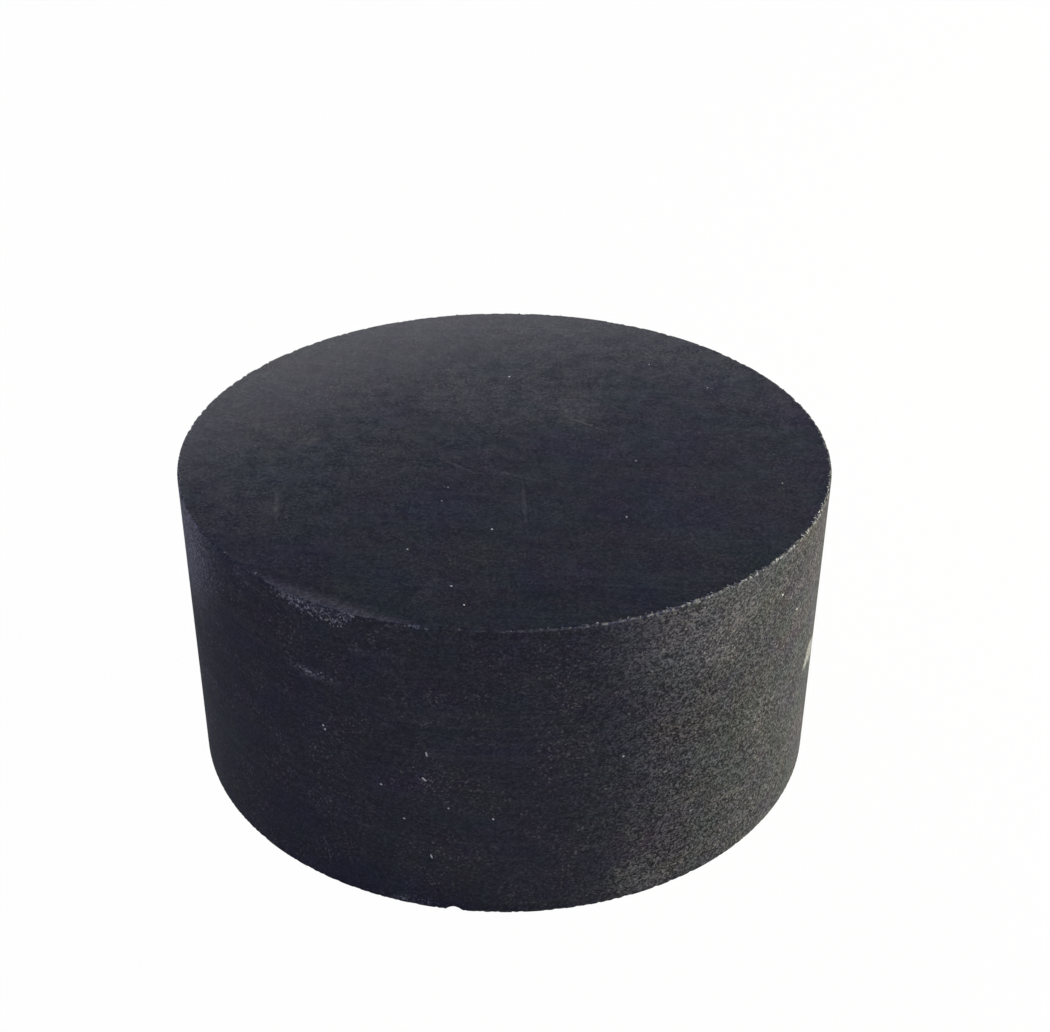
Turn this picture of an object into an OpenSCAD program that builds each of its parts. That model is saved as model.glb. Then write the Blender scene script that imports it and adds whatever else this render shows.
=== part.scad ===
// Graphite block: a short round cut from moulded graphite bar, turned on its side and
// faced flat on both ends. It is one solid piece, worn and chipped as soft graphite is.
// The origin is the centre of the lower end face, and +Z runs up the axis of the round.
// Angles go round that axis from +X, so -90 is the front of the block.

/* [Block] */
// Diameter of the turned side
block_d = 50; // [30:1:120]
// Height between the two end faces
block_h = 25; // [15:1:80]

/* [Worn edges] */
// Width of the worn edge round the top face
rim_wear = 0.1; // [0.05:0.05:0.4]
// Width of the worn edge round the bottom face
foot_wear = 0.1; // [0.05:0.05:0.4]

/* [Rubbed stretch of the rim] */
// Where the middle of the rubbed stretch lies, round the axis
rub_angle = -119.5; // [-180:0.5:180]
// Length of the flat that is rubbed off the top face, along the rim
rub_l = 17; // [6:0.5:20]
// How far the flat drops from the top face to the rim
rub_drop = 0.15; // [0.1:0.05:0.6]

/* [Spall under the rim] */
// Where the middle of the spalled stretch lies, round the axis
spall_angle = -120.5; // [-180:0.5:180]
// Distance along the rim from the first bite to the last
spall_l = 4.6; // [2:0.1:10]
// Number of shell-shaped bites that make up the stretch
spall_bites = 4; // [2:1:8]
// Depth of the bites' middles below the top face
spall_low = 0.6; // [0.4:0.1:3]
// Width of the largest bite, at the clockwise end
spall_w = 1.8; // [1:0.1:4]
// Depth of the bites
spall_depth = 0.12; // [0.08:0.01:0.4]

/* [Notch in the foot] */
// Where the notch lies, round the axis
notch_angle = -98.5; // [-180:0.5:180]
// Width of the notch along the bottom edge
notch_w = 1.4; // [0.8:0.1:4]
// Depth of the notch
notch_depth = 0.32; // [0.3:0.02:0.8]

/* [Flake on the side] */
// Where the scar of the flake lies, round the axis
flake_angle = -19.5; // [-180:0.5:180]
// Height of the scar's middle above the bottom face
flake_z = 11.2; // [4:0.1:14]
// Width of the scar
flake_w = 2.6; // [1.5:0.1:5]
// Depth of the scar
flake_depth = 0.12; // [0.08:0.01:0.4]

/* [Hidden] */
block_r = block_d / 2;
// Edge chips face outwards half way between the side and the end face
edge_tilt = 45;
// The rubbed flat reaches this far in from the rim, because a flat cuts a round along a chord
rub_in = block_r - sqrt(block_r * block_r - rub_l * rub_l / 4);
rub_tilt = atan(rub_drop / rub_in);
// The spalled bites face outwards and a little up
spall_tilt = 10;
// Each bite is this share narrower than the one before it
spall_taper = 0.12;
// Angle between the middles of two neighbouring bites
spall_step = spall_l / block_r * 180 / PI / (spall_bites - 1);
// The scar of the flake faces straight out
flake_tilt = 0;
$fn = 180;

// Half section of the round: a rectangle whose outer corners are worn off
module half_section() {
  polygon([
    [0, 0],
    [block_r - foot_wear, 0],
    [block_r, foot_wear],
    [block_r, block_h - rim_wear],
    [block_r - rim_wear, block_h],
    [0, block_h]
  ]);
}

// Flat rubbed off the top along a stretch of rim, falling away outwards
module rubbed_flat() {
  rotate([0, 0, rub_angle])
    translate([block_r - rub_in, 0, block_h])
      rotate([0, rub_tilt, 0])
        translate([0, -rub_l, 0])
          cube([rub_l, 2 * rub_l, rub_l]);
}

// Shell-shaped bite: the cap of a ball, width across and depth deep, at an angle round
// the side and a height up it. Tilt raises the ball from straight out towards straight up.
module bite(angle, height, width, depth, tilt) {
  ball_r = (width * width / 4 + depth * depth) / (2 * depth);
  rotate([0, 0, angle])
    translate([block_r, 0, height])
      rotate([0, -tilt, 0])
        translate([ball_r - depth, 0, 0])
          sphere(r = ball_r);
}

// Stretch under the rim that has crumbled away in a row of bites, smaller towards one end
module rim_spall() {
  for (i = [0 : spall_bites - 1])
    bite(
      spall_angle + (i - (spall_bites - 1) / 2) * spall_step,
      block_h - spall_low,
      spall_w * (1 - i * spall_taper),
      spall_depth,
      spall_tilt
    );
}

// The block itself, with its rubbed and spalled rim, the notch in its foot and the scar that
// a flake has left on its side
module graphite_block() {
  color([0.17, 0.17, 0.20])
    difference() {
      rotate_extrude() half_section();
      rubbed_flat();
      rim_spall();
      bite(notch_angle, 0, notch_w, notch_depth, -edge_tilt);
      bite(flake_angle, flake_z, flake_w, flake_depth, flake_tilt);
    }
}

graphite_block();
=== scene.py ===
import math

import bpy
import numpy as np
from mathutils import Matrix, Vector


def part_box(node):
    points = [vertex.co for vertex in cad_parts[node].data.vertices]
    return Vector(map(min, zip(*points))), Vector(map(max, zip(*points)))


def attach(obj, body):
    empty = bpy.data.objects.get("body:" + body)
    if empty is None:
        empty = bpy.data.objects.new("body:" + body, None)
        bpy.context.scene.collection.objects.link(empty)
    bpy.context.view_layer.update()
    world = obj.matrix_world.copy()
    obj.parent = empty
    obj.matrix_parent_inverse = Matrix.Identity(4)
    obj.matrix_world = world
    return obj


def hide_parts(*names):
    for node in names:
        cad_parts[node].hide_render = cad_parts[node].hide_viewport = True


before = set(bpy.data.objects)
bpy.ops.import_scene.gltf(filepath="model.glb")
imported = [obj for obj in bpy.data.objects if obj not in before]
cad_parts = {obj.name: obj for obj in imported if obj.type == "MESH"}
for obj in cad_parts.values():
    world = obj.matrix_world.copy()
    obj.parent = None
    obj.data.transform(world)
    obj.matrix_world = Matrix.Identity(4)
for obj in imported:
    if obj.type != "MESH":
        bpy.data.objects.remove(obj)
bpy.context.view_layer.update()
mm = 0.001


# Camera: close in front of the block and a third of the way up from level, as a small thing
# on a table is looked at. The block stands low in the picture, so the lens is shifted for it.
picture_w = 1050
picture_h = 1032
focal_px = 1712.3
block_middle_px = (504.45, 582.4)
look_down = math.radians(33.1)
stand_off = 139.1 * mm

block_low, block_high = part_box("graphite_block")
block_middle = (block_low + block_high) / 2
lens = bpy.data.cameras.new("camera")
lens.lens = lens.sensor_width * focal_px / picture_w
lens.shift_x = (picture_w / 2 - block_middle_px[0]) / picture_w
lens.shift_y = (block_middle_px[1] - picture_h / 2) / picture_w
lens.clip_start = 10 * mm
camera = bpy.data.objects.new("camera", lens)
bpy.context.scene.collection.objects.link(camera)
towards_camera = Vector((0, -math.cos(look_down), math.sin(look_down)))
camera.location = block_middle + towards_camera * stand_off
camera.rotation_mode = "QUATERNION"
camera.rotation_quaternion = (-towards_camera).to_track_quat("-Z", "Y")
bpy.context.scene.camera = camera


# The block is a short round of fine-grained graphite, sawn from a moulded bar, turned on its
# side and faced on both ends. It is one piece. Handling has rubbed a thin skin off its side and
# top, on which crumbs and dust now stand, and has worn its two edges to a tenth of a millimetre.
skin = 0.02 * mm
radius = (block_high.x - block_low.x) / 2 - skin
height = block_high.z - block_low.z - skin
edge_wear = 0.08 * mm
flake_z = 11.2 * mm
columns = 1400


def half_section():
    """Radius and height of every ring, from the lower face over the side to the upper face.

    On the faces the rings draw together towards the edge by a constant factor. The side has
    bands of close rings over the foot, across the flake scar and under the rim, and a few wide
    apart between them. Each edge is a quarter circle of the worn width.
    """
    inner = radius - edge_wear
    lower_r = np.sort(inner - np.geomspace(0.1, 12, 5) * mm)
    upper_r = inner - np.concatenate([np.geomspace(0.06, 2.2, 9), [5, 12]]) * mm
    lower_turn = np.linspace(0, math.pi / 2, 3)
    upper_turn = np.linspace(0, math.pi / 2, 4)
    foot_z = edge_wear + np.geomspace(0.05, 1.2, 8) * mm
    scar_z = flake_z + np.linspace(-1.4, 1.4, 15) * mm
    plain_z = np.array([3, 5.5, 8, 14, 17.5, 20.5]) * mm
    below_rim = np.concatenate([np.linspace(0.06, 0.3, 5), np.linspace(0.4, 1.4, 11), [1.8, 2.4]])
    side_z = np.sort(np.concatenate([foot_z, scar_z, plain_z, height - edge_wear - below_rim * mm]))
    ring_r = np.concatenate([
        lower_r,
        inner + edge_wear * np.sin(lower_turn),
        np.full(side_z.size, radius),
        inner + edge_wear * np.cos(upper_turn),
        upper_r,
    ])
    ring_z = np.concatenate([
        np.zeros(lower_r.size),
        edge_wear * (1 - np.cos(lower_turn)),
        side_z,
        height - edge_wear * (1 - np.sin(upper_turn)),
        np.full(upper_r.size, height),
    ])
    on_side = np.zeros(ring_r.size, bool)
    on_side[lower_r.size:-upper_r.size] = True
    return ring_r, ring_z, on_side


def around(out, up, bearing):
    """Points or directions at a bearing, from their parts out from the axis and up it."""
    out, up, bearing = np.broadcast_arrays(out, up, bearing)
    return np.stack([out * np.cos(bearing), out * np.sin(bearing), up], axis=-1)


ring_r, ring_z, ring_on_side = half_section()
turn = (np.arange(columns) + 0.5) * (2 * math.pi / columns) - math.pi
sound = around(ring_r[:, None], ring_z[:, None], turn)

# Inward direction: towards the nearest point of a smaller round set well inside the block, so
# it is level on the side, upright on the faces and turns smoothly round each edge.
inset = 3 * mm
inward_r = np.clip(ring_r, 0, radius - inset) - ring_r
inward_z = np.clip(ring_z, inset, height - inset) - ring_z
inward_l = np.hypot(inward_r, inward_z)
inward = around((inward_r / inward_l)[:, None], (inward_z / inward_l)[:, None], turn)


# A flat is gone from it: along the rim at the front left the top is rubbed away, and falls a
# little towards the edge, as where a block has been slid over something hard.
def shave(points, towards, through, facing):
    """How deep a flat cut goes at each point: the way along its inward direction to the plane
    through a place, square to facing, and 0 for points behind the plane."""
    over = ((points - through) * facing).sum(-1)
    closing = -(towards * facing).sum(-1)
    return np.where(over > 0, over / np.maximum(closing, 0.1), 0)


rub_bearing = math.radians(-119.5)
rub_l = 17 * mm
rub_drop = 0.15 * mm
rub_in = radius - math.sqrt(radius ** 2 - rub_l ** 2 / 4)
rub_tilt = math.atan(rub_drop / rub_in)
rub_place = around(radius - rub_in, height, rub_bearing)
rub_facing = around(math.sin(rub_tilt), math.cos(rub_tilt), rub_bearing)
rubbed = shave(sound, inward, rub_place, rub_facing)


def rim_level(bearing):
    """Height of the rim at a bearing: the upper face, and along the rubbed flat so much less as
    the rim lies beyond the flat's inner end, times its fall."""
    beyond = radius * np.cos(bearing - rub_bearing) - (radius - rub_in)
    return height - np.maximum(beyond, 0) * math.tan(rub_tilt)


# Knocks have taken shell-shaped bites out of it, as graphite breaks: a row of shallow ones under
# the rim at the front left, with small pits among them, a nick in the rim, a notch in the foot and
# a flake from the right of the side. Along both edges it has crumbled in bites too small to count,
# most of all along the rim at the front right.
rng = np.random.default_rng(11)


def bites(bearing, level, width, depth, tilt):
    """Centres and radii of the balls that take the bites: each cap is width across and depth
    deep on the sound surface, at a bearing and a level, and tilt raises the ball upwards."""
    sizes = np.atleast_1d(bearing, level, width, depth, tilt)
    bearing, level, width, depth, tilt = np.broadcast_arrays(*sizes)
    ball = (width ** 2 / 4 + depth ** 2) / (2 * depth)
    rise_r = (ball - depth) * np.cos(tilt)
    rise_z = (ball - depth) * np.sin(tilt)
    return around(radius + rise_r, level + rise_z, bearing), ball


def carve(points, towards, centres, balls):
    """How deep the bites go at each point: the way from the point along its inward direction
    to the far wall of the ball it lies in, the deepest ball counting, and 0 outside them all."""
    depth = np.zeros(points.shape[:-1])
    for centre, ball in zip(centres, balls):
        away = points - centre
        along = (away * towards).sum(-1)
        beyond = (away ** 2).sum(-1) - ball ** 2
        wall = np.sqrt(np.maximum(along ** 2 - beyond, 0)) - along
        depth = np.maximum(depth, np.where(beyond < 0, wall, 0))
    return depth


crumbled_bearing = math.radians(-40)
crumbled_spread = math.radians(33)


def crumbling(bearing):
    """Share of the rim that has crumbled at a bearing: a bell round the front right on a floor
    of an eighth."""
    off_middle = (bearing - crumbled_bearing) / crumbled_spread
    return 0.125 + 0.875 * np.exp(-(off_middle ** 2))


def drift(count, bearing, level, half_l, half_h):
    """Bearings and levels of grains drifted round a place on the side, thinning out to its half
    length and half height, all in degrees and millimetres."""
    away = np.clip(rng.normal(0, 0.45, (2, count)), -1, 1)
    return math.radians(bearing) + away[0] * half_l * mm / radius, (level + away[1] * half_h) * mm


def share(depth, full):
    """How far a depth reaches towards the one that counts in full."""
    return np.clip(depth / full, 0, 1)


spall_bearing = math.radians(-120.5)
spall_l = 4.6 * mm
spall_low = 0.6 * mm
spall_w = 1.8 * mm
spall_taper = 0.12
spall_depth = 0.12 * mm
spall_tilt = math.radians(10)
spall_no = np.arange(4)
spall = bites(
    spall_bearing + (spall_no / spall_no[-1] - 0.5) * spall_l / radius,
    height - spall_low,
    spall_w * (1 - spall_taper * spall_no),
    spall_depth,
    spall_tilt,
)

notch_bearing = math.radians(-98.5)
notch_w = 1.3 * mm
notch_depth = 0.28 * mm
notch_tilt = math.radians(-45)
notch = bites(notch_bearing, 0, notch_w, notch_depth, notch_tilt)

nick_bearing = math.radians(-103.8)
nick_w = 1.3 * mm
nick_depth = 0.16 * mm
nick_tilt = math.radians(50)
nick = bites(nick_bearing, height, nick_w, nick_depth, nick_tilt)

flake_bearing = math.radians(-19.5)
flake_w = 2.6 * mm
flake_depth = 0.12 * mm
flake_tilt = 0
flake = bites(flake_bearing, flake_z, flake_w, flake_depth, flake_tilt)

rim_tries = 1500
rim_bearing = rng.uniform(-math.pi, math.pi, rim_tries)
rim_bearing = rim_bearing[rng.random(rim_tries) < crumbling(rim_bearing)]
rim_w = (0.2 + 0.65 * rng.random(rim_bearing.size) ** 2) * mm
rim_depth = rng.uniform(0.05, 0.17, rim_bearing.size) * mm
rim_tilt = np.radians(rng.uniform(20, 60, rim_bearing.size))
rim = bites(rim_bearing, height, rim_w, rim_depth, rim_tilt)

foot_count = 300
foot_bearing = rng.uniform(-math.pi, math.pi, foot_count)
foot_w = rng.uniform(0.2, 0.6, foot_count) * mm
foot_depth = rng.uniform(0.05, 0.1, foot_count) * mm
foot_tilt = np.radians(rng.uniform(-60, -20, foot_count))
foot = bites(foot_bearing, 0, foot_w, foot_depth, foot_tilt)

pit_bearing, pit_level = np.concatenate([
    drift(34, -124.8, 24.4, 1.7, 0.4),
    drift(50, -120.0, 24.15, 2.0, 0.5),
    drift(20, -117.5, 23.9, 1.1, 0.35),
], axis=1)
pit_w = rng.uniform(0.14, 0.32, pit_bearing.size) * mm
pit_depth = rng.uniform(0.05, 0.1, pit_bearing.size) * mm
pits = bites(pit_bearing, pit_level, pit_w, pit_depth, spall_tilt)

bite_reach = 3 * mm
near_rim = ring_z > height - bite_reach
near_foot = ring_z < bite_reach
near_flake = ring_on_side & (np.abs(ring_z - flake_z) < bite_reach)
spalled, pitted, nicked, crumbled, notched, chipped, flaked = np.zeros((7,) + sound.shape[:2])
for depth, near, balls in (
    (spalled, near_rim, spall),
    (pitted, near_rim, pits),
    (nicked, near_rim, nick),
    (crumbled, near_rim, rim),
    (notched, near_foot, notch),
    (chipped, near_foot, foot),
    (flaked, near_flake, flake),
):
    depth[near] = carve(sound[near], inward[near], *balls)

# A bite is rough inside by the grit of it, and counts as broken in full from a small depth on
grit = 0.02 * mm
full_bite = 0.05 * mm
bitten = np.max([spalled, pitted, nicked, crumbled, notched, chipped], axis=0)
broken = share(bitten, full_bite)
gone = np.max([rubbed, flaked, bitten + grit * broken * rng.random(bitten.shape)], axis=0)
worn = sound + inward * gone[..., None]

# How pale it is crushed there, from 0 to 1: in single grains in the bites and along the crumbled rim,
# and in an uneven film on the scar of the flake, on the rim at the front and, faintly, on the rubbed
# flat. The pale grains and the film on the worn rim at the front are crushed graphite and also a painted
# highlight, the shine that the key light puts along that edge. The film on the scar has a ragged
# outline, an oval with three waves round it.
full_pit = 0.08 * mm
full_rub = 0.12 * mm
rim_ring = (ring_z > height - 1.2 * edge_wear) & (ring_r > radius - 1.2 * edge_wear)
pale_grains_and_highlight = np.max([
    0.3 * share(spalled, full_bite),
    0.6 * share(pitted, full_pit),
    0.5 * share(nicked, full_bite),
    0.7 * share(crumbled, full_bite) * crumbling(turn),
    0.1 * share(notched, full_bite),
    0.15 * share(chipped, full_bite),
    # Along the rounded rim the pale grains are also a painted highlight of the worn edge
    0.7 * rim_ring[:, None] * crumbling(turn),
], axis=0)

film_bearing = math.radians(-18.4)
film_half_l = 2.15 * mm
film_half_h = 1.03 * mm
film_fade = 0.2
film_x = (turn - film_bearing) * radius / film_half_l
film_y = (ring_z[:, None] - flake_z) / film_half_h
spoke = np.arctan2(film_y, film_x)
ragged = 1 - 0.06 * np.sin(3 * spoke + 1) - 0.05 * np.sin(5 * spoke + 2) - 0.05 * np.sin(11 * spoke)
scar_film = 0.31 * share(ragged - np.hypot(film_x, film_y), film_fade) * ring_on_side[:, None]
scar_film = scar_film * rng.uniform(0.8, 1.15, scar_film.shape)

# Painted highlight: a bell of pale film on the worn rim round the front stands in for the shine of that
# edge, besides its crushed grains.
rim_highlight_bearing = math.radians(-63)
rim_highlight_spread = math.radians(22)
off_rim_highlight = (turn - rim_highlight_bearing) / rim_highlight_spread
rim_crush_and_highlight = 0.30 * rim_ring[:, None] * np.exp(-(off_rim_highlight ** 2))
rim_crush_and_highlight = rim_crush_and_highlight * rng.uniform(0.5, 1.3, rim_crush_and_highlight.shape)
flat_film = 0.13 * share(rubbed, full_rub)
pale_film_and_highlight = np.max([scar_film, rim_crush_and_highlight, flat_film], axis=0)


# The mesh of the block: the carved rings joined by quads, and each face closed by a fan round
# its centre. Faces in the bites stay flat, as crumbled grains are, and the rest is smooth.
ring = np.arange(ring_r.size * columns).reshape(ring_r.size, columns)
after = np.roll(ring, -1, axis=1)
quads = np.stack([ring[:-1], after[:-1], after[1:], ring[1:]], axis=-1).reshape(-1, 4)
lower_centre = ring.size
upper_centre = ring.size + 1
lower_fan = np.stack([np.full(columns, lower_centre), after[0], ring[0]], axis=-1)
upper_fan = np.stack([np.full(columns, upper_centre), ring[-1], after[-1]], axis=-1)
centres = [(0, 0, 0), (0, 0, height)]
block_mesh = bpy.data.meshes.new("graphite_block_worn")
block_mesh.from_pydata(
    worn.reshape(-1, 3).tolist() + centres,
    [],
    quads.tolist() + lower_fan.tolist() + upper_fan.tolist(),
)
quad_on_face = np.repeat(~(ring_on_side[:-1] & ring_on_side[1:]), columns)
quad_smooth = broken.reshape(-1)[quads].mean(axis=1) < 0.3
fans = np.ones(2 * columns, bool)
material_no = np.concatenate([quad_on_face, fans]).astype(np.int32)
block_mesh.polygons.foreach_set("material_index", material_no)
block_mesh.polygons.foreach_set("use_smooth", np.concatenate([quad_smooth, fans]))
for name, pale in (("pale_grains_and_highlight", pale_grains_and_highlight), ("pale_film_and_highlight", pale_film_and_highlight)):
    layer = block_mesh.attributes.new(name, "FLOAT", "POINT")
    layer.data.foreach_set("value", np.append(pale.reshape(-1), [0, 0]).astype(np.float32))
block_mesh.update()
block = bpy.data.objects.new("graphite_block_worn", block_mesh)
bpy.context.scene.collection.objects.link(block)
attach(block, "root")
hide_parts("graphite_block")


# Graphite: pressed carbon powder, a blue-black grey that is matt when it is looked down on and
# has a sheen towards the light. The turned side shows its grain, and the faces are rubbed smooth.
def put(tree, kind, inputs=None, **options):
    """Adds a node with its options, and feeds each input a value or another node's output."""
    made = tree.nodes.new(kind)
    for name, setting in options.items():
        setattr(made, name, setting)
    for name, fed in (inputs or {}).items():
        if isinstance(fed, bpy.types.NodeSocket):
            tree.links.new(fed, made.inputs[name])
        else:
            made.inputs[name].default_value = fed
    return made


def reckon(tree, operation, *values):
    """One sum in a node tree: the operation on the values or outputs given."""
    return put(tree, "ShaderNodeMath", dict(enumerate(values)), operation=operation).outputs[0]


def rise(tree, value, low, high):
    """A value carried from low..high onto 0..1, levelling off smoothly at both ends."""
    span = {"Value": value, "From Min": low, "From Max": high}
    return put(tree, "ShaderNodeMapRange", span, interpolation_type="SMOOTHSTEP").outputs[0]


def tint(tree, amount, first, second, blend="MIX"):
    """The first colour turned into, or multiplied by, the second by an amount from 0 to 1."""
    options = {"data_type": "RGBA", "blend_type": blend}
    return put(tree, "ShaderNodeMix", {0: amount, 6: first, 7: second}, **options).outputs[2]


def group_tree(name, inputs, outputs):
    """A new shader node group with its named inputs and outputs, and its two end nodes."""
    tree = bpy.data.node_groups.new(name, "ShaderNodeTree")
    for socket, kind in inputs.items():
        tree.interface.new_socket(socket, in_out="INPUT", socket_type="NodeSocket" + kind)
    for socket, kind in outputs.items():
        tree.interface.new_socket(socket, in_out="OUTPUT", socket_type="NodeSocket" + kind)
    return tree, tree.nodes.new("NodeGroupInput").outputs, tree.nodes.new("NodeGroupOutput").inputs


# Grain: powder pressed together, so single grains of light and dark that each lean their own
# way, bright flakes that come in drifts, and slow shifts of hue between violet, green and brown
grain, grain_in, grain_out = group_tree(
    "graphite_grain",
    {
        "Vector": "Vector",
        "Grains per Metre": "Float",
        "Drifts per Metre": "Float",
        "Hue Shift": "Float",
        "Lean": "Float",
    },
    {
        "Tone": "Float",
        "Pale": "Float",
        "Uneven": "Float",
        "Flakes": "Float",
        "Hue": "Color",
        "Leaning": "Vector",
    },
)
one_grain = put(grain, "ShaderNodeTexVoronoi", {
    "Vector": grain_in["Vector"],
    "Scale": grain_in["Grains per Metre"],
}).outputs["Color"]
by_chance = put(grain, "ShaderNodeSeparateColor", {"Color": one_grain}).outputs
drifts = put(grain, "ShaderNodeTexNoise", {
    "Vector": grain_in["Vector"],
    "Scale": grain_in["Drifts per Metre"],
    "Detail": 4.0,
    "Roughness": 0.7,
}).outputs


def spread(tree, colour, amount):
    """A colour's three parts, from 0 to 1, carried to either side of 0 and scaled."""
    centred = put(tree, "ShaderNodeVectorMath", {0: colour, 1: (0.5, 0.5, 0.5)}, operation="SUBTRACT")
    scaled = {0: centred.outputs[0], "Scale": amount}
    return put(tree, "ShaderNodeVectorMath", scaled, operation="SCALE").outputs[0]


hue = spread(grain, drifts["Color"], grain_in["Hue Shift"])
flaky = rise(grain, by_chance["Green"], 0.86, 0.97)
in_drifts = rise(grain, drifts["Fac"], 0.42, 0.62)
tone = reckon(grain, "MULTIPLY", by_chance["Red"], by_chance["Red"])
grain_links = {
    "Tone": tone,
    "Pale": rise(grain, by_chance["Blue"], 0.5, 1.0),
    "Uneven": reckon(grain, "MULTIPLY_ADD", tone, 0.9, 0.7),
    "Flakes": reckon(grain, "MULTIPLY", flaky, in_drifts),
    "Hue": put(grain, "ShaderNodeVectorMath", {0: hue, 1: (1, 1, 1)}, operation="ADD").outputs[0],
    "Leaning": spread(grain, one_grain, grain_in["Lean"]),
}
for socket, fed in grain_links.items():
    grain.links.new(fed, grain_out[socket])

# Streaks: fine lines drawn out one way, as a tool or a cloth leaves them, that come and go
streaks, streaks_in, streaks_out = group_tree(
    "drawn_streaks",
    {"Vector": "Vector", "Turn": "Vector", "Drawn Out": "Vector", "Streaks per Metre": "Float"},
    {"Mask": "Float"},
)
drawn = put(streaks, "ShaderNodeMapping", {
    "Vector": streaks_in["Vector"],
    "Rotation": streaks_in["Turn"],
    "Scale": streaks_in["Drawn Out"],
}, vector_type="TEXTURE").outputs[0]
lines = put(streaks, "ShaderNodeTexNoise", {
    "Vector": drawn,
    "Scale": streaks_in["Streaks per Metre"],
    "Detail": 3.0,
    "Roughness": 0.65,
}).outputs["Fac"]
streaks.links.new(rise(streaks, lines, 0.46, 0.72), streaks_out["Mask"])

# Smudge: an oval mark, full in the middle and fading out to its half size
smudge, smudge_in, smudge_out = group_tree(
    "oval_smudge",
    {"Vector": "Vector", "Centre": "Vector", "Turn": "Vector", "Half Size": "Vector"},
    {"Mask": "Float"},
)
from_centre = put(smudge, "ShaderNodeMapping", {
    "Vector": smudge_in["Vector"],
    "Location": smudge_in["Centre"],
    "Rotation": smudge_in["Turn"],
    "Scale": smudge_in["Half Size"],
}, vector_type="TEXTURE").outputs[0]
how_far = put(smudge, "ShaderNodeVectorMath", {0: from_centre}, operation="LENGTH").outputs["Value"]
smudge.links.new(rise(smudge, how_far, 1.0, 0.3), smudge_out["Mask"])


def use(tree, group, vector, settings):
    """One use of a node group in a material, at a vector and with its own settings."""
    node = tree.nodes.new("ShaderNodeGroup")
    node.node_tree = group
    tree.links.new(vector, node.inputs["Vector"])
    for socket, setting in settings.items():
        node.inputs[socket].default_value = setting
    return node.outputs


def add_mark(tree, colour, mask, amount, mark_colour):
    """A colour with a mark laid over it: the mask times the amount turns it to the mark's."""
    return tint(tree, reckon(tree, "MULTIPLY", mask, amount), colour, mark_colour)


pale_crush_and_shine = (0.47, 0.49, 0.62, 1)
rubbed_graphite = (0.50, 0.47, 0.54, 1)


def finish_graphite(material, colour, powder, crushed, rough, gloss, relief, depth):
    """Ends a graphite material: its crushed places turn pale, in single grains or in a film, and so does
    the painted highlight on the worn rim that comes in the same grains and film; each grain leans its
    own way, and the relief stands up by the depth."""
    tree = material.node_tree
    shader = tree.nodes["Principled BSDF"]
    grains = put(tree, "ShaderNodeAttribute", attribute_name="pale_grains_and_highlight").outputs["Fac"]
    film = put(tree, "ShaderNodeAttribute", attribute_name="pale_film_and_highlight").outputs["Fac"]
    film = reckon(tree, "MULTIPLY", film, powder["Uneven"])
    pale = reckon(tree, "MAXIMUM", reckon(tree, "MULTIPLY", grains, powder["Pale"]), film)
    tree.links.new(tint(tree, pale, colour, crushed), shader.inputs["Base Color"])
    tree.links.new(rough, shader.inputs["Roughness"])
    facing = put(tree, "ShaderNodeNewGeometry").outputs["Normal"]
    leaning = {0: facing, 1: powder["Leaning"]}
    leaning = put(tree, "ShaderNodeVectorMath", leaning, operation="ADD").outputs[0]
    leaning = put(tree, "ShaderNodeVectorMath", {0: leaning}, operation="NORMALIZE").outputs[0]
    raised = put(tree, "ShaderNodeBump", {"Distance": depth, "Height": relief, "Normal": leaning})
    tree.links.new(raised.outputs["Normal"], shader.inputs["Normal"])
    shader.inputs["Specular IOR Level"].default_value = gloss


# The turned side: grain that the tool has smeared a little along its way, coarser at the right and with
# lighter grains there, which are painted glints where the key light falls, drifts of bright flakes,
# faint lines from the tool that run round the block, a rough patch low down at the front right, and
# scuffs and haze of crushed grains, the haze high on the left also a painted sheen
side_gloss = 0.015
tool_mark = 0.015 * mm
tool_smear = (0.8, 1, 1)
fine_dark = (0.0310, 0.0318, 0.0464, 1)
fine_light = (0.0631, 0.0645, 0.0940, 1)
coarse_glint_dark = (0.0200, 0.0204, 0.0286, 1)
coarse_glint_light = (0.0909, 0.0928, 0.1303, 1)
side_flake = (0.22, 0.22, 0.24, 1)
tool_line = (0.16, 0.16, 0.17, 1)
rough_patch = (0.26, 0.26, 0.27, 1)

turned = bpy.data.materials.new("turned_graphite")
turned.use_nodes = True
tree = turned.node_tree
place = put(tree, "ShaderNodeTexCoord").outputs["Object"]
parts = put(tree, "ShaderNodeSeparateXYZ", {"Vector": place}).outputs
run = reckon(tree, "MULTIPLY", reckon(tree, "ARCTAN2", parts["Y"], parts["X"]), radius)
unrolled = put(tree, "ShaderNodeCombineXYZ", {"X": run, "Y": parts["Z"]}).outputs[0]
smeared = {0: unrolled, 1: tool_smear}
smeared = put(tree, "ShaderNodeVectorMath", smeared, operation="MULTIPLY").outputs[0]
powder = use(tree, grain, smeared, {
    "Grains per Metre": 8400.0,
    "Drifts per Metre": 300.0,
    "Hue Shift": 0.52,
    "Lean": 0.28,
})
turning = use(tree, streaks, unrolled, {"Drawn Out": (30, 1, 1), "Streaks per Metre": 1700.0})
low_patch = use(tree, smudge, unrolled, {
    "Centre": (math.radians(-67.4) * radius, 2.3 * mm, 0),
    "Half Size": (3.2 * mm, 2.4 * mm, 1),
})
fine = tint(tree, powder["Tone"], fine_dark, fine_light)
coarse_grain_and_glints = tint(tree, powder["Tone"], coarse_glint_dark, coarse_glint_light)
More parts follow.
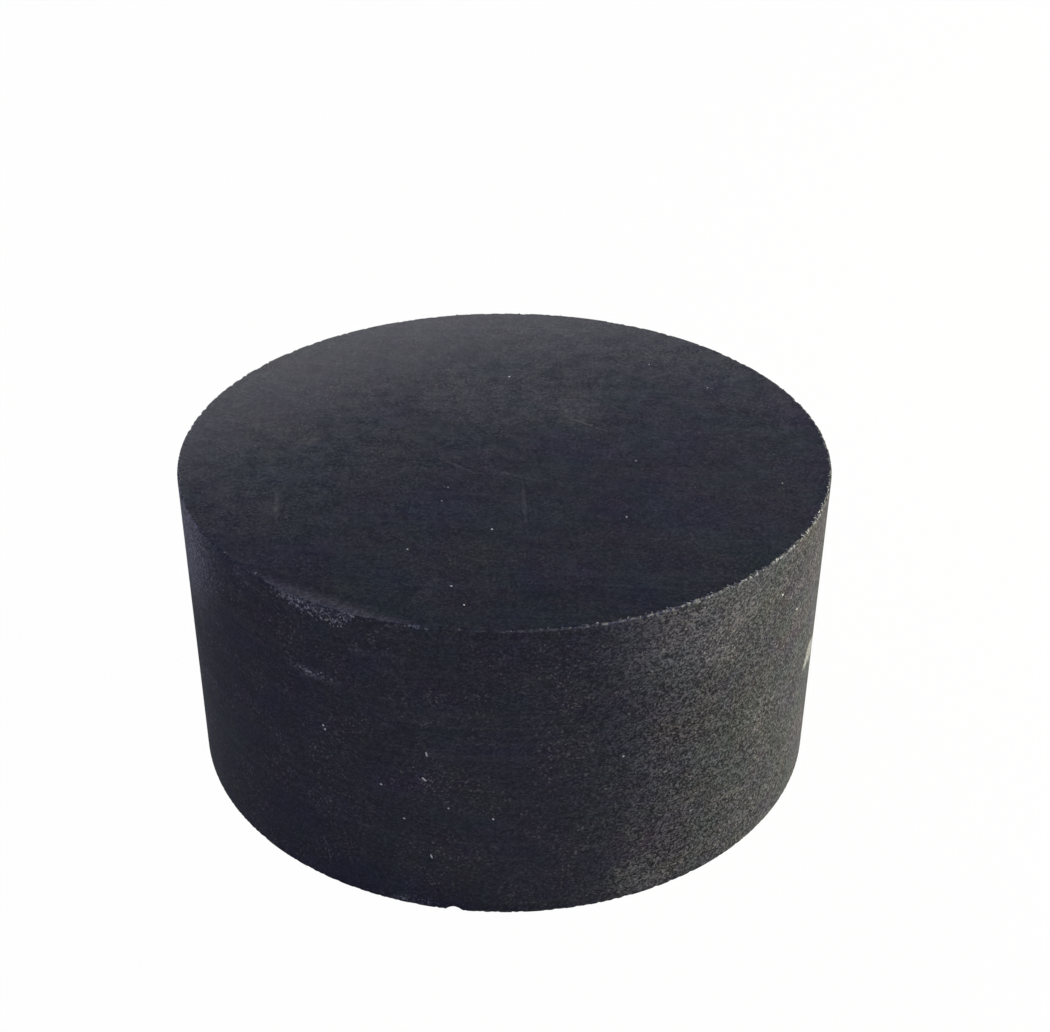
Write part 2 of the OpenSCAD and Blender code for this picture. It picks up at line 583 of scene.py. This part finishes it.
# Painted glints: from the front right round towards the key light the grain turns coarser and a little
# lighter, standing in for grains that catch its light.
lit_right = rise(tree, run, math.radians(-76) * radius, math.radians(-57) * radius)
not_behind = rise(tree, run, math.radians(140) * radius, math.radians(60) * radius)
colour = tint(tree, reckon(tree, "MULTIPLY", lit_right, not_behind), fine, coarse_grain_and_glints)
colour = tint(tree, 1.0, colour, powder["Hue"], "MULTIPLY")
colour = add_mark(tree, colour, powder["Flakes"], 0.42, side_flake)
colour = add_mark(tree, colour, turning["Mask"], 0.08, tool_line)
patch_grains = reckon(tree, "MULTIPLY", low_patch["Mask"], powder["Tone"])
colour = add_mark(tree, colour, patch_grains, 0.3, rough_patch)

# Each scuff has a bearing in degrees, a level and half a size in millimetres, a strength, and the
# grains it shows in
for bearing, level, half, strength, mask in (
    # The first two are a haze of crushed grains high on the left that is also a painted sheen, the light
    # that the left edge catches near the rim.
    (-162.0, 24.0, (7.5, 10.0), 0.13, powder["Uneven"]),
    (-160.0, 24.0, (8.7, 9.5), 0.50, powder["Pale"]),
    (-121.9, 18.85, (2.9, 0.60), 0.24, powder["Pale"]),
    (-113.0, 22.1, (1.2, 0.70), 0.12, powder["Pale"]),
    (-136.0, 24.2, (3.0, 0.90), 0.10, powder["Pale"]),
    (-106.0, 0.5, (3.0, 0.60), 0.22, powder["Pale"]),
    (-66.0, 1.0, (3.2, 1.00), 0.16, powder["Pale"]),
    (-58.0, 23.5, (10.0, 7.50), 0.04, powder["Uneven"]),
):
    scuff = use(tree, smudge, unrolled, {
        "Centre": (math.radians(bearing) * radius, level * mm, 0),
        "Half Size": (half[0] * mm, half[1] * mm, 1),
    })["Mask"]
    scuff = reckon(tree, "MULTIPLY", scuff, mask)
    colour = add_mark(tree, colour, scuff, strength, pale_crush_and_shine)
rough = reckon(tree, "MULTIPLY_ADD", powder["Tone"], 0.15, 0.62)
finish_graphite(turned, colour, powder, pale_crush_and_shine, rough, side_gloss, turning["Mask"], tool_mark)

# The faced ends: fine grain under long streaks from rubbing in two directions, smudges and scuffs on the
# upper face, one wide faint mark at its front right a painted sheen, and a polish in single grains and
# in cloudy patches, like a thin coat
face_gloss = 0.275
face_sheen = (0.34, 0.28, 1.0, 1)
rub_mark = 0.0003 * mm
face_dark = (0.0157, 0.0178, 0.0160, 1)
face_light = (0.0324, 0.0370, 0.0331, 1)
rub_line = (0.16, 0.16, 0.18, 1)
grey_mark = (0.16, 0.16, 0.17, 1)
brown_mark = (0.15, 0.14, 0.12, 1)

faced = bpy.data.materials.new("faced_graphite")
faced.use_nodes = True
tree = faced.node_tree
place = put(tree, "ShaderNodeTexCoord").outputs["Object"]
powder = use(tree, grain, place, {
    "Grains per Metre": 7000.0,
    "Drifts per Metre": 160.0,
    "Hue Shift": 1.5,
    "Lean": 0.005,
})
across = use(tree, streaks, place, {
    "Turn": (0, 0, math.radians(-4)),
    "Drawn Out": (22, 1, 22),
    "Streaks per Metre": 900.0,
})
slanting = use(tree, streaks, place, {
    "Turn": (0, 0, math.radians(-30)),
    "Drawn Out": (16, 1, 16),
    "Streaks per Metre": 1300.0,
})
colour = tint(tree, powder["Tone"], face_dark, face_light)
colour = tint(tree, 1.0, colour, powder["Hue"], "MULTIPLY")
colour = add_mark(tree, colour, powder["Flakes"], 0.16, grey_mark)
colour = add_mark(tree, colour, across["Mask"], 0.06, rub_line)
colour = add_mark(tree, colour, slanting["Mask"], 0.03, rub_line)


def clouds(tree, vector, per_metre):
    """Cloudy patches, from 0 to 1, so many to the metre."""
    settings = {"Vector": vector, "Scale": per_metre, "Detail": 3.0}
    return rise(tree, put(tree, "ShaderNodeTexNoise", settings).outputs["Fac"], 0.35, 0.65)


# Each mark has a centre across and along, a turn in degrees, half a size in millimetres, a strength
# and a colour, and is broken up by small clouds and by the grain
broken_up = reckon(tree, "MULTIPLY_ADD", clouds(tree, place, 2200.0), 0.65, 0.35)
broken_up = reckon(tree, "MULTIPLY", broken_up, powder["Uneven"])
for centre, lie, half, strength, mark_colour in (
    ((5.9, 6.2), 0, (2.8, 4.3), 0.25, brown_mark),
    ((6.5, 3.8), -37, (2.3, 0.22), 0.45, grey_mark),
    ((-17.0, -9.4), 85, (4.2, 0.9), 0.14, brown_mark),
    ((-16.6, -9.2), 96, (3.4, 0.25), 0.32, grey_mark),
    ((-15.3, 1.1), -30, (1.4, 1.0), 0.28, brown_mark),
    ((1.45, -8.6), 92, (4.2, 0.24), 0.22, grey_mark),
    ((-5.3, -20.2), 68, (2.6, 0.9), 0.11, grey_mark),
    ((-3.4, -3.1), -40, (2.4, 0.22), 0.30, grey_mark),
    ((0.9, -4.5), -24, (3.1, 0.22), 0.26, grey_mark),
    ((-2.0, -3.2), -28, (3.8, 0.7), 0.06, grey_mark),
    ((-6.0, 6.8), -26, (3.4, 0.4), 0.14, grey_mark),
    ((-0.3, 7.6), -10, (9.0, 6.0), 0.14, grey_mark),
    # A painted sheen: this wide faint mark lightens the front right of the upper face as the key light
    # would.
    ((17.0, -9.0), 30, (12.0, 8.0), 0.045, grey_mark),
):
    mark = use(tree, smudge, place, {
        "Centre": (centre[0] * mm, centre[1] * mm, height),
        "Turn": (0, 0, math.radians(lie)),
        "Half Size": (half[0] * mm, half[1] * mm, 1 * mm),
    })
    mark = reckon(tree, "MULTIPLY", mark["Mask"], broken_up)
    colour = add_mark(tree, colour, mark, strength, mark_colour)
rough = reckon(tree, "MULTIPLY_ADD", powder["Tone"], 0.04, 0.14)
rough = reckon(tree, "MULTIPLY_ADD", across["Mask"], -0.03, rough)
mottle = clouds(tree, place, 600.0)
rough = reckon(tree, "ADD", rough, reckon(tree, "MULTIPLY_ADD", mottle, 0.04, -0.02))
finish_graphite(faced, colour, powder, rubbed_graphite, rough, face_gloss, across["Mask"], rub_mark)
polish = tree.nodes["Principled BSDF"].inputs
polish["Specular Tint"].default_value = face_sheen
polish["Coat Roughness"].default_value = 0.2
shine = reckon(tree, "MULTIPLY_ADD", powder["Tone"], 0.42, reckon(tree, "MULTIPLY", mottle, 0.13))
tree.links.new(shine, polish["Coat Weight"])

block_mesh.materials.append(turned)
block_mesh.materials.append(faced)


# Crumbs: grains that have come loose along the rim and in the spalled places and still cling
# there, crushed to a paler grey. Each is a small lump with twenty faces, half sunk in the block.
def lump():
    """A lump with twenty faces: two poles and two rings of five, a fifth of a turn apart and
    set half a step against each other."""
    step = np.arange(5) * (2 * math.pi / 5)
    flat = 2 / math.sqrt(5)
    rise_z = 1 / math.sqrt(5)
    points = np.concatenate([
        [[0, 0, 1]],
        around(flat, rise_z, step),
        around(flat, -rise_z, step + math.pi / 5),
        [[0, 0, -1]],
    ])
    near, far = np.arange(5), (np.arange(5) + 1) % 5
    faces = np.concatenate([
        np.stack([np.zeros(5, int), 1 + near, 1 + far], axis=-1),
        np.stack([1 + near, 6 + near, 1 + far], axis=-1),
        np.stack([1 + far, 6 + near, 6 + far], axis=-1),
        np.stack([np.full(5, 11), 6 + far, 6 + near], axis=-1),
    ])
    return points, faces


def scatter(name, bearing, level, out, facing, half, lie, pale, material):
    """Lumps set on the block: each stands at a bearing, a level and a distance out, tipped to
    face between straight out, 0, and straight up, 90 degrees, stretched to its half sizes along,
    across and through, turned by its lie, roughened, and kept within the sound block."""
    points, faces = lump()
    count = bearing.size
    normal = around(np.cos(facing), np.sin(facing), bearing)
    first = around(1, 0, bearing + math.pi / 2)
    second = np.cross(normal, first)
    along = first * np.cos(lie)[:, None] + second * np.sin(lie)[:, None]
    across = np.cross(normal, along)
    rough = points * rng.uniform(0.75, 1.2, (count, points.shape[0], 1)) * half[:, None, :]
    axes = np.stack([along, across, normal], axis=1)
    grains = around(out, level, bearing)[:, None, :] + np.einsum("npk,nkd->npd", rough, axes)
    off_axis = np.hypot(grains[..., 0], grains[..., 1])
    grains[..., :2] *= np.minimum(1, (radius + 0.6 * skin) / off_axis)[..., None]
    grains[..., 2] = np.clip(grains[..., 2], 0, height + skin)
    mesh = bpy.data.meshes.new(name)
    every = (np.arange(count)[:, None, None] * points.shape[0] + faces).reshape(-1, 3)
    mesh.from_pydata(grains.reshape(-1, 3).tolist(), [], every.tolist())
    layer = mesh.attributes.new("pale_film_and_highlight", "FLOAT", "POINT")
    layer.data.foreach_set("value", np.repeat(pale, points.shape[0]).astype(np.float32))
    mesh.materials.append(material)
    mesh.update()
    piece = bpy.data.objects.new(name, mesh)
    bpy.context.scene.collection.objects.link(piece)
    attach(piece, "root")


powdery = bpy.data.materials.new("crushed_graphite")
powdery.use_nodes = True
tree = powdery.node_tree
place = put(tree, "ShaderNodeTexCoord").outputs["Object"]
powder = use(tree, grain, place, {
    "Grains per Metre": 9000.0,
    "Drifts per Metre": 400.0,
    "Hue Shift": 0.3,
    "Lean": 0.5,
})
loose_gloss = 0.3
crumb_grit = 0.01 * mm
crumb_dark = (0.03, 0.03, 0.033, 1)
crumb_light = (0.09, 0.09, 0.1, 1)
colour = tint(tree, powder["Tone"], crumb_dark, crumb_light)
colour = tint(tree, 1.0, colour, powder["Hue"], "MULTIPLY")
rough = reckon(tree, "MULTIPLY_ADD", powder["Tone"], 0.15, 0.5)
finish_graphite(powdery, colour, powder, pale_crush_and_shine, rough, loose_gloss, powder["Tone"], crumb_grit)

# Drifts of crumbs on the side, and then the row along the rim, part of it on the face just inside
drifts_at = [
    drift(34, -125.0, 24.5, 1.9, 0.45),
    drift(44, -121.0, 24.2, 2.2, 0.6),
    drift(22, -117.6, 23.9, 1.2, 0.45),
    drift(9, -113.8, 24.8, 0.6, 0.12),
    drift(14, -121.9, 18.85, 2.3, 0.4),
    drift(16, -103.6, 24.85, 1.1, 0.12),
    drift(8, -106.0, 0.4, 2.4, 0.3),
    drift(6, -66.0, 0.8, 2.4, 0.7),
]
drift_under_rim = 0.05 * mm
drift_in = 0.005 * mm
drift_bearing, drift_level = (np.concatenate(part) for part in zip(*drifts_at))
drift_level = np.minimum(drift_level, rim_level(drift_bearing) - drift_under_rim)
hollows = [np.concatenate(part) for part in zip(spall, nick)]
drift_place = around(radius, drift_level, drift_bearing)
drift_sunk = carve(drift_place, around(-1, 0, drift_bearing), *hollows)
crumb_tries = 1250
crumb_bearing = rng.uniform(-math.pi, math.pi, crumb_tries)
crumb_bearing = crumb_bearing[rng.random(crumb_tries) < crumbling(crumb_bearing)]
on_rim = crumb_bearing.size
on_face = rng.random(on_rim) < 0.45
in_on_face = rng.uniform(0.05, 0.27, on_rim) * mm
in_on_edge = rng.uniform(0.03, 0.08, on_rim) * mm
crumb_in = np.where(on_face, in_on_face, in_on_edge)
crumb_low = np.where(on_face, 0.0, rng.uniform(0.03, 0.1, on_rim)) * mm
crumb_place = around(radius - crumb_in, height, crumb_bearing)
crumb_sunk = carve(crumb_place, np.array([0, 0, -1]), *rim)
crumb_low = crumb_low + np.where(on_face, crumb_sunk, 0)
bearing = np.concatenate([crumb_bearing, drift_bearing])
crumb_half = np.stack([
    rng.uniform(0.05, 0.13, bearing.size),
    rng.uniform(0.04, 0.08, bearing.size),
    rng.uniform(0.03, 0.07, bearing.size),
], axis=-1) * mm
crumb_lie = rng.uniform(-math.pi, math.pi, bearing.size)
rim_pale = rng.uniform(0.15, 1.0, on_rim) ** 1.5 * (0.3 + 0.7 * crumbling(crumb_bearing))
drift_pale = rng.uniform(0.1, 0.95, drift_bearing.size) ** 1.8
scatter(
    "rim_crumbs",
    bearing,
    np.concatenate([rim_level(crumb_bearing) - crumb_low, drift_level]),
    radius - np.concatenate([crumb_in, drift_sunk + drift_in]),
    np.concatenate([np.where(on_face, math.pi / 2, math.pi / 4), np.zeros(drift_bearing.size)]),
    crumb_half,
    crumb_lie,
    np.concatenate([rim_pale, drift_pale]),
    powdery,
)


# Dust: a few white grains and short fibres that have settled on the side and on the upper face.
# On the side each has a bearing and a level, on the face a place across and along, in degrees
# and millimetres, and then half a length and a lie.
white_dust = bpy.data.materials.new("white_dust")
white_dust.use_nodes = True
tree = white_dust.node_tree
place = put(tree, "ShaderNodeTexCoord").outputs["Object"]
powder = use(tree, grain, place, {
    "Grains per Metre": 9000.0,
    "Drifts per Metre": 400.0,
    "Hue Shift": 0.2,
    "Lean": 0.3,
})
dust_grit = 0.005 * mm
dust_dark = (0.55, 0.57, 0.64, 1)
dust_light = (0.82, 0.85, 0.95, 1)
colour = tint(tree, powder["Tone"], dust_dark, dust_light)
rough = reckon(tree, "MULTIPLY_ADD", powder["Tone"], 0.15, 0.6)
finish_graphite(white_dust, colour, powder, pale_crush_and_shine, rough, loose_gloss, powder["Tone"], dust_grit)

side_dust = np.array([
    (-120.5, 14.59, 0.10, 20), (-120.2, 14.30, 0.12, 60), (-102.4, 14.31, 0.24, 100),
    (-102.9, 12.06, 0.26, 140), (-106.5, 8.15, 0.11, 0), (-99.0, 9.69, 0.09, 30),
    (-91.8, 8.94, 0.11, 120), (-102.1, 4.98, 0.24, 110), (-110.3, 10.84, 0.12, 150),
    (-70.7, 13.47, 0.11, 0), (-37.8, 21.42, 0.11, 0), (-31.4, 18.67, 0.10, 0),
])
face_dust = np.array([
    (0.4, 12.2, 0.11, 0), (-0.9, -12.2, 0.10, 0), (-6.8, -14.9, 0.10, 0), (-3.6, -19.6, 0.11, 0),
    (-2.7, -21.9, 0.09, 0), (8.8, -10.5, 0.09, 0), (10.0, -2.2, 0.08, 0), (-4.2, -6.2, 0.06, 0),
    (-4.6, -8.2, 0.06, 0), (20.7, -5.6, 0.08, 0), (12.2, 14.5, 0.10, 0), (16.7, 10.2, 0.07, 0),
])
dust_w = 0.08 * mm
dust_thick = 0.02 * mm
dust_l = np.concatenate([side_dust[:, 2], face_dust[:, 2]]) * mm
dust_on_side = np.arange(dust_l.size) < len(side_dust)
face_bearing = np.arctan2(face_dust[:, 1], face_dust[:, 0])
face_out = np.hypot(face_dust[:, 0], face_dust[:, 1]) * mm
scatter(
    "dust",
    np.concatenate([np.radians(side_dust[:, 0]), face_bearing]),
    np.concatenate([side_dust[:, 1] * mm, np.full(len(face_dust), height)]),
    np.concatenate([np.full(len(side_dust), radius), face_out]),
    np.where(dust_on_side, 0, math.pi / 2),
    np.stack([dust_l, np.minimum(dust_l, dust_w), np.full(dust_l.size, dust_thick)], axis=-1),
    np.radians(np.concatenate([side_dust[:, 3], face_dust[:, 3]])),
    np.zeros(dust_l.size),
    white_dust,
)


# Studio: a pale round sweep that curves up from the floor to a low wall, higher behind on the left,
# so that it fills the picture from every side and the top of the block has the sheen of it. It
# shows as white behind the block and still takes its shadow.
floor_r = 450 * mm
bend_r = 150 * mm
wall_low = 129 * mm
wall_rise = 112 * mm
wall_peak = math.radians(122)
wall_spread = math.radians(24)
paper_grey = (0.86, 0.86, 0.86, 1)
white_share = 0.985


def sweep(steps, columns):
    """The floor's radius and height along a flat run, a quarter circle and a short wall, carried
    round the upright axis; the wall's height has a bell at its peak's bearing. Gives the points
    and the quads, and the centre's fan."""
    bend = np.linspace(0, math.pi / 2, steps)[1:]
    bend_out = floor_r + bend_r * np.sin(bend)
    bend_up = bend_r * (1 - np.cos(bend))
    run_r = np.concatenate([[0.1 * floor_r, floor_r], bend_out, [floor_r + bend_r]])
    run_z = np.concatenate([[0, 0], bend_up, [bend_r + wall_low]])
    bearing = np.arange(columns) * (2 * math.pi / columns)
    from_peak = (bearing - wall_peak + math.pi) % (2 * math.pi) - math.pi
    upright = np.repeat(run_z[:, None], columns, axis=1)
    upright[-1] += wall_rise * np.exp(-((from_peak / wall_spread) ** 2))
    points = around(run_r[:, None], upright, bearing).reshape(-1, 3)
    index = np.arange(points.shape[0]).reshape(run_r.size, columns)
    nextward = np.roll(index, -1, axis=1)
    sides = np.stack([index[:-1], index[1:], nextward[1:], nextward[:-1]], axis=-1).reshape(-1, 4)
    fan = np.stack([np.full(columns, points.shape[0]), index[0], nextward[0]], axis=-1)
    return points.tolist() + [(0, 0, 0)], sides.tolist() + fan.tolist()


sweep_points, sweep_faces = sweep(12, 96)
floor_mesh = bpy.data.meshes.new("floor")
floor_mesh.from_pydata(sweep_points, [], sweep_faces)
floor_mesh.shade_smooth()
floor = bpy.data.objects.new("floor", floor_mesh)
bpy.context.scene.collection.objects.link(floor)

paper = bpy.data.materials.new("white_paper")
paper.use_nodes = True
paper_tree = paper.node_tree
paper_tree.nodes.remove(paper_tree.nodes["Principled BSDF"])
ray = put(paper_tree, "ShaderNodeLightPath")
seen = reckon(paper_tree, "MAXIMUM", ray.outputs["Is Camera Ray"], ray.outputs["Is Glossy Ray"])
seen = reckon(paper_tree, "MAXIMUM", seen, ray.outputs["Is Transmission Ray"])
shown_white = reckon(paper_tree, "MULTIPLY", seen, white_share)
paper_mix = put(paper_tree, "ShaderNodeMixShader", {0: shown_white})
paper_lit = put(paper_tree, "ShaderNodeBsdfDiffuse", {"Color": paper_grey})
paper_white = put(paper_tree, "ShaderNodeEmission", {"Color": (1, 1, 1, 1), "Strength": 1.0})
paper_tree.links.new(paper_lit.outputs[0], paper_mix.inputs[1])
paper_tree.links.new(paper_white.outputs[0], paper_mix.inputs[2])
paper_tree.links.new(paper_mix.outputs[0], paper_tree.nodes["Material Output"].inputs["Surface"])
floor_mesh.materials.append(paper)

# Light: a warm soft box low on the right and a little behind, and an even blue sky that fills the
# shade. At level 1 the box lights a surface that faces it so that the surface shows its own
# colour, so its power is the level times pi squared times its distance squared.
sky_blue = (0.55, 0.585, 1.0, 1)
sky_level = 0.312
key_bearing = math.radians(13)
key_lift = math.radians(10)
key_away = 350 * mm
key_size = 120 * mm
key_level = 2.5
key_warm = (1.0, 0.945, 0.575)

sky = bpy.data.worlds.new("sky")
sky.use_nodes = True
sky.node_tree.nodes["Background"].inputs["Color"].default_value = sky_blue
sky.node_tree.nodes["Background"].inputs["Strength"].default_value = sky_level
bpy.context.scene.world = sky

key_lamp = bpy.data.lights.new("key_right", "AREA")
key_lamp.size = key_size
key_lamp.color = key_warm
key_lamp.energy = key_level * math.pi ** 2 * key_away ** 2
key = bpy.data.objects.new("key_right", key_lamp)
towards_key = Vector(around(math.cos(key_lift), math.sin(key_lift), key_bearing))
key.location = block_middle + towards_key * key_away
key.rotation_mode = "QUATERNION"
key.rotation_quaternion = towards_key.to_track_quat("Z", "Y")
key.visible_camera = False
bpy.context.scene.collection.objects.link(key)

bpy.context.scene.view_settings.view_transform = "Standard"
